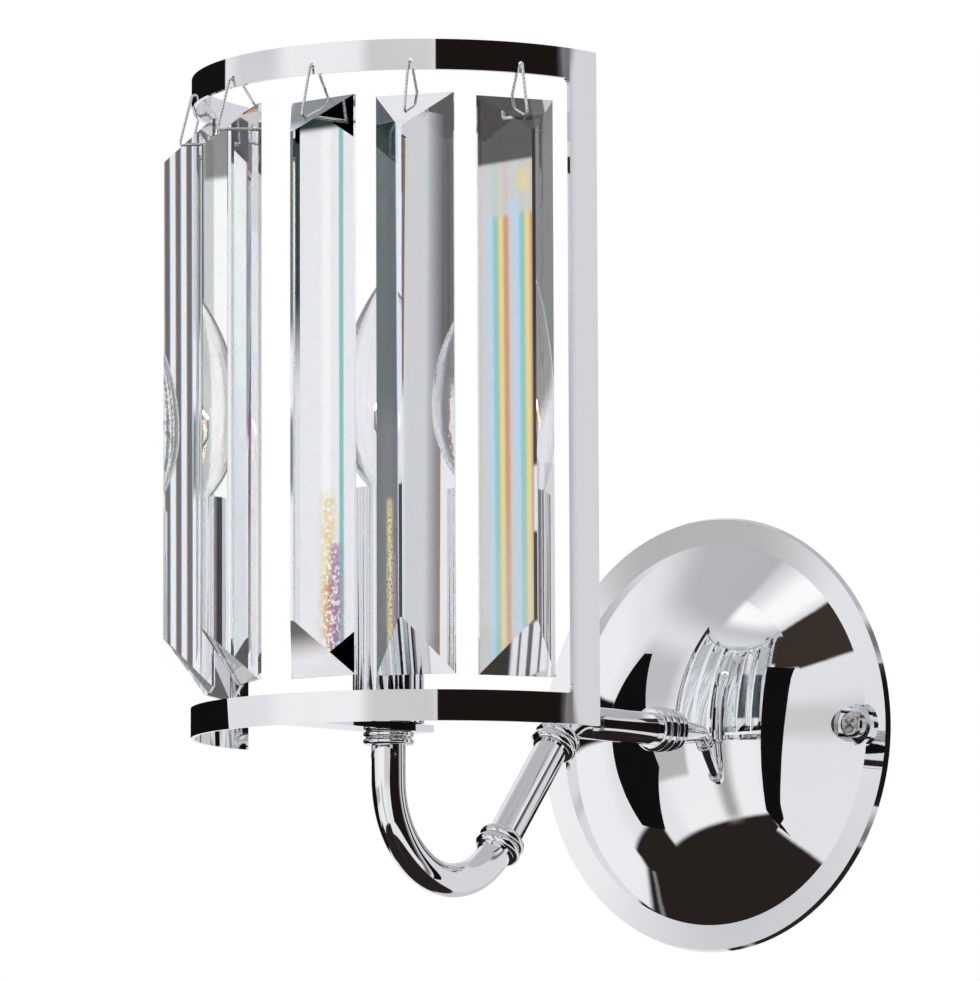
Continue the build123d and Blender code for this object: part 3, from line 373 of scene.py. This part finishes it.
def mottle(tree, coordinates, scale, detail=4.0):
    """Cloudy noise from 0 to 1."""
    noise = tree.nodes.new("ShaderNodeTexNoise")
    noise.inputs["Scale"].default_value = scale
    noise.inputs["Detail"].default_value = detail
    tree.links.new(coordinates, noise.inputs["Vector"])
    return noise.outputs["Fac"]


def spread(tree, value, low, high):
    """Stretches the middle of a noise over a range of values."""
    scaled = tree.nodes.new("ShaderNodeMapRange")
    tree.links.new(value, scaled.inputs["Value"])
    scaled.inputs["From Min"].default_value = NOISE_LOW
    scaled.inputs["From Max"].default_value = NOISE_HIGH
    scaled.inputs["To Min"].default_value = low
    scaled.inputs["To Max"].default_value = high
    return scaled.outputs[0]


def uneven_colour(tree, shader, coordinates, scale, first, second):
    """Lets the colour drift between two tones."""
    drift = spread(tree, mottle(tree, coordinates, scale), 0.0, 1.0)
    tree.links.new(blend_colours(tree, drift, first, second), shader.inputs["Base Color"])


def uneven_gloss(tree, shader, coordinates, scale, low, high, detail=4.0):
    """Lets the roughness wander between two values."""
    smears = mottle(tree, coordinates, scale, detail)
    tree.links.new(spread(tree, smears, low, high), shader.inputs["Roughness"])


def relief(tree, height, strength, depth, *shaders):
    """Raises a height pattern on the surface, with its depth in metres."""
    bump = tree.nodes.new("ShaderNodeBump")
    bump.inputs["Strength"].default_value = strength
    bump.inputs["Distance"].default_value = depth
    tree.links.new(height, bump.inputs["Height"])
    for shader in shaders:
        tree.links.new(bump.outputs[0], shader.inputs["Normal"])


def finish_nodes(made, *names):
    """Gives a finish to CAD nodes."""
    for name in names:
        for holder in node[name].material_slots:
            holder.material = made


def plating(name, rings_about_y=False, stretch=(1, 1, 1)):
    """Mirror chrome: a little cloud in its colour and gloss, and a faint waviness."""
    made, tree, shader = shaded_material(name, CHROME, 1.0, 0.02)
    place = own_coordinates(tree, stretch)
    uneven_colour(tree, shader, place, 22.0, CHROME, CHROME_CLOUD)
    uneven_gloss(tree, shader, place, 140.0, 0.006, 0.034, detail=6.0)
    if rings_about_y:
        rings = tree.nodes.new("ShaderNodeTexWave")
        rings.wave_type = "RINGS"
        rings.rings_direction = "Y"
        rings.inputs["Scale"].default_value = 120.0
        rings.inputs["Distortion"].default_value = 0.6
        tree.links.new(place, rings.inputs["Vector"])
        relief(tree, rings.outputs["Fac"], 0.02, 0.00002, shader)
    else:
        relief(tree, mottle(tree, place, 60.0, 2.0), 0.03, 0.0001, shader)
    return made


finish_nodes(plating("spun_chrome_plate", rings_about_y=True), "backplate")

# ---- Plate screws: two pan-head steel screws with a cross recess, nickel plated, a little duller
# than the plate, with a tone that drifts at random between pale and dark.
screw_nickel, tree, shader = shaded_material("nickel_plating", (0.72, 0.70, 0.67), 1.0, 0.16)
place = own_coordinates(tree)
uneven_colour(tree, shader, place, 420.0, (0.78, 0.76, 0.73), (0.46, 0.44, 0.42))
uneven_gloss(tree, shader, place, 900.0, 0.07, 0.26, detail=5.0)
relief(tree, mottle(tree, place, 2600.0), 0.15, 0.00003, shader)
finish_nodes(screw_nickel, "plate_screws", "grub_screws")

# ---- Wall bracket, nipples, washers and nuts: pressed and turned steel with bright zinc, whose
# passivation leaves a faint yellow and blue bloom.
bright_zinc, tree, shader = shaded_material("bright_zinc", (0.62, 0.63, 0.63), 1.0, 0.32)
place = own_coordinates(tree)
uneven_colour(tree, shader, place, 45.0, (0.66, 0.65, 0.58), (0.55, 0.60, 0.66))
uneven_gloss(tree, shader, place, 300.0, 0.22, 0.42, detail=6.0)
relief(tree, mottle(tree, place, 1500.0, 5.0), 0.2, 0.00005, shader)
finish_nodes(bright_zinc, "wall_bracket", "root_nipple", "root_washer", "root_lock_nut",
             "holder_nipple", "holder_washer", "holder_lock_nut", "terminal_screws")

# ---- Earth screw and washer, terminal tubes and the holder's contacts: turned brass with fine
# tool marks and a slight brown bloom.
turned_brass, tree, shader = shaded_material("turned_brass", (0.80, 0.62, 0.30), 1.0, 0.25)
place = own_coordinates(tree)
uneven_colour(tree, shader, place, 90.0, (0.83, 0.65, 0.33), (0.62, 0.44, 0.20))
uneven_gloss(tree, shader, place, 500.0, 0.16, 0.34, detail=6.0)
relief(tree, mottle(tree, own_coordinates(tree, (1, 30, 1)), 120.0), 0.15, 0.00004, shader)
finish_nodes(turned_brass, "earth_washer", "earth_screw", "terminal_tubes", "lamp_holder_shell",
             "lamp_holder_contact")

# ---- Terminal block: pale plastic with the fine spark-eroded grain of its mould, round three
# brass tubes.
GRAIN_RELIEF = 0.25


def moulding(name, pale, shade, rough, grain_scale):
    """Moulded plastic: slight colour drift, and the fine grain of its mould."""
    made, tree, shader = shaded_material(name, pale, 0.0, rough)
    place = own_coordinates(tree)
    uneven_colour(tree, shader, place, 60.0, pale, shade)
    grain = mottle(tree, place, grain_scale, 3.0)
    tree.links.new(spread(tree, grain, rough - 0.08, rough + 0.1), shader.inputs["Roughness"])
    relief(tree, grain, GRAIN_RELIEF, 0.00004, shader)
    return made


finish_nodes(moulding("pale_moulding", (0.82, 0.82, 0.79), (0.75, 0.75, 0.71), 0.42, 3200.0),
             "terminal_block")

# ---- Arm: 12 mm steel tube in three lengths, bent cold and joined by turned collars with two
# beads each, all chrome plated as one.
finish_nodes(plating("tube_chrome", stretch=(1, 1, 0.4)), "upper_arm_tube", "straight_arm_tube",
             "lower_arm_tube")
finish_nodes(plating("collar_chrome"), "root_collar", "upper_arm_collar", "lower_arm_collar",
             "riser_collar")

# ---- Shade bar and shade frame: a flat steel bar, and one pierced strip of sheet rolled to a half
# round, chrome plated, with the long faint marks of the rolling.
finish_nodes(plating("rolled_chrome", stretch=(1, 1, 0.15)), "shade_bar", "shade_frame")

# ---- Lamp holder: moulded heat-resistant ivory plastic with a slight grain, round the brass
# socket shell.
finish_nodes(moulding("ivory_moulding", (0.80, 0.77, 0.68), (0.72, 0.69, 0.60), 0.5, 2400.0),
             "lamp_holder_body")

# ---- Candle sleeve: a thin drawn tube that hides the holder, chrome plated, with faint draw
# marks along it.
finish_nodes(plating("drawn_chrome", stretch=(6, 6, 0.05)), "candle_sleeve")

# ---- Wires inside the arm: silicone insulation, brown and blue, slightly dusty. They run from
# the terminal block to the lamp holder.
for name, wire_colour, dust in (("live_wire", (0.16, 0.07, 0.035), (0.24, 0.14, 0.09)),
                                ("neutral_wire", (0.03, 0.09, 0.34), (0.09, 0.16, 0.38))):
    finish_nodes(moulding(name + "_silicone", wire_colour, dust, 0.45, 1400.0), name)

# ---- Crystal links: loops of thin bright wire, drawn and twisted, so that they glitter. Each
# hangs in a hole of the top band.
HANGING = range(1, 7)
link_wire, tree, shader = shaded_material("bright_wire", (0.95, 0.95, 0.96), 1.0, 0.3)
place = own_coordinates(tree)
uneven_colour(tree, shader, place, 700.0, (0.97, 0.97, 0.98), (0.80, 0.80, 0.82))
uneven_gloss(tree, shader, place, 900.0, 0.22, 0.45)
twist = tree.nodes.new("ShaderNodeTexWave")
twist.bands_direction = "DIAGONAL"
twist.inputs["Scale"].default_value = 420.0
twist.inputs["Distortion"].default_value = 1.5
tree.links.new(place, twist.inputs["Vector"])
relief(tree, twist.outputs["Fac"], 0.5, 0.0002, shader)
finish_nodes(link_wire, *["crystal_link_%d" % number for number in HANGING])

# ---- Crystals: six long three-sided prisms of clear crystal with slanted ends, cut and polished,
# with narrow ground edges. They split the light a little into its colours.
CRYSTAL_INDEX = 1.47
CRYSTAL_SPLIT, SPLIT_SHARE = 0.008, 0.15
CRYSTAL_CLEAR = (0.985, 0.992, 0.99)


def cut_crystal(name):
    """Clear crystal: the standard shader mixed with one glass for each of three colours."""
    made, tree, shader = shaded_material(name, CRYSTAL_CLEAR, 0.0, 0.0)
    shader.inputs["Transmission Weight"].default_value = 1.0
    shader.inputs["IOR"].default_value = CRYSTAL_INDEX
    place = own_coordinates(tree, (1, 1, 0.2))
    polish = spread(tree, mottle(tree, place, 160.0, 5.0), 0.0, 0.006)
    tree.links.new(polish, shader.inputs["Roughness"])
    lenses = [shader]
    total = None
    for tint, step in (((1, 0, 0), -1), ((0, 1, 0), 0), ((0, 0, 1), 1)):
        glass = tree.nodes.new("ShaderNodeBsdfGlass")
        filtered = (part * share for part, share in zip(CRYSTAL_CLEAR, tint))
        glass.inputs["Color"].default_value = (*filtered, 1)
        glass.inputs["IOR"].default_value = CRYSTAL_INDEX + step * CRYSTAL_SPLIT
        tree.links.new(polish, glass.inputs["Roughness"])
        lenses.append(glass)
        if total is None:
            total = glass
        else:
            both = tree.nodes.new("ShaderNodeAddShader")
            tree.links.new(total.outputs[0], both.inputs[0])
            tree.links.new(glass.outputs[0], both.inputs[1])
            total = both
    relief(tree, mottle(tree, place, 35.0, 2.0), 0.006, 0.0002, *lenses)
    mixed = tree.nodes.new("ShaderNodeMixShader")
    mixed.inputs[0].default_value = SPLIT_SHARE
    tree.links.new(shader.outputs[0], mixed.inputs[1])
    tree.links.new(total.outputs[0], mixed.inputs[2])
    tree.links.new(mixed.outputs[0], tree.nodes["Material Output"].inputs["Surface"])
    return made


finish_nodes(cut_crystal("cut_crystal"), *["crystal_%d" % number for number in HANGING])

# ---- Bulb: a clear blown candle glass with faint flow lines, its stem, a pressed nickel-plated
# screw cap, a black glass insulator and a solder contact.
BULB_INDEX = 1.5
blown_glass, tree, shader = shaded_material("blown_glass", (0.99, 0.99, 0.99), 0.0, 0.0)
shader.inputs["Transmission Weight"].default_value = 1.0
shader.inputs["IOR"].default_value = BULB_INDEX
place = own_coordinates(tree, (1, 1, 0.25))
uneven_gloss(tree, shader, place, 60.0, 0.0, 0.02)
relief(tree, mottle(tree, place, 70.0, 2.0), 0.05, 0.0003, shader)
finish_nodes(blown_glass, "bulb_glass", "bulb_stem")

cap_metal, tree, shader = shaded_material("pressed_cap", (0.78, 0.77, 0.73), 1.0, 0.25)
place = own_coordinates(tree)
uneven_colour(tree, shader, place, 150.0, (0.82, 0.81, 0.78), (0.60, 0.58, 0.54))
uneven_gloss(tree, shader, place, 600.0, 0.15, 0.35)
relief(tree, mottle(tree, place, 1500.0), 0.1, 0.00004, shader)
finish_nodes(cap_metal, "bulb_screw_cap", "bulb_base_contact")
finish_nodes(moulding("black_glass", (0.012, 0.012, 0.015), (0.03, 0.03, 0.035), 0.15, 900.0),
             "bulb_insulator")

# ---- Lead wires and filament: two stiff nickel wires and a coil of fine tungsten wire that glows
# warm. The coil is wound here and stands in for the solid round its turns.
COIL_TURNS, COIL_STEPS = 34, 12
COIL_RADIUS, COIL_WIRE = 0.00042, 0.00009
LEAD_SPREAD, COIL_RISE = 0.006, 0.0035
COIL_LIFT, COIL_TAIL = 0.0006, 0.0008
LAMP_Y = -0.1865
GLOW_COLOUR, GLOW_STRENGTH = (1.0, 0.55, 0.22, 1), 14.0
lead_metal, tree, shader = shaded_material("lead_wire", (0.50, 0.48, 0.45), 1.0, 0.3)
place = own_coordinates(tree)
uneven_colour(tree, shader, place, 300.0, (0.55, 0.53, 0.50), (0.36, 0.34, 0.33))
uneven_gloss(tree, shader, place, 900.0, 0.2, 0.45)
finish_nodes(lead_metal, "bulb_lead_wires")

coil_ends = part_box("bulb_filament")
coil_base = coil_ends[0][2] + COIL_LIFT
arch_radius = (LEAD_SPREAD ** 2 + COIL_RISE ** 2) / (2 * COIL_RISE)
arch_half = math.asin(LEAD_SPREAD / arch_radius)
points = [(-LEAD_SPREAD, LAMP_Y, coil_base - COIL_TAIL)]
for step in range(COIL_TURNS * COIL_STEPS + 1):
    along = step / (COIL_TURNS * COIL_STEPS)
    spot = arch_half * (2 * along - 1)
    winding = 2 * math.pi * step / COIL_STEPS
    reach = arch_radius + COIL_RADIUS * math.cos(winding)
    points.append((reach * math.sin(spot), LAMP_Y + COIL_RADIUS * math.sin(winding),
                   coil_base + COIL_RISE - arch_radius + reach * math.cos(spot)))
points.append((LEAD_SPREAD, LAMP_Y, coil_base - COIL_TAIL))
winding_line = bpy.data.curves.new("filament_coil", "CURVE")
winding_line.dimensions = "3D"
winding_line.bevel_depth = COIL_WIRE
winding_line.bevel_resolution = 1
run = winding_line.splines.new("POLY")
run.points.add(len(points) - 1)
for point, spot in zip(run.points, points):
    point.co = (*spot, 1)
coil = bpy.data.objects.new("filament_coil", winding_line)
bpy.context.scene.collection.objects.link(coil)
tungsten, tree, shader = shaded_material("tungsten_wire", (0.30, 0.28, 0.26), 1.0, 0.4)
place = own_coordinates(tree)
uneven_gloss(tree, shader, place, 2000.0, 0.3, 0.5)
shader.inputs["Emission Color"].default_value = GLOW_COLOUR
shader.inputs["Emission Strength"].default_value = GLOW_STRENGTH
winding_line.materials.append(tungsten)
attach(coil, "bulb")
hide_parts("bulb_filament")
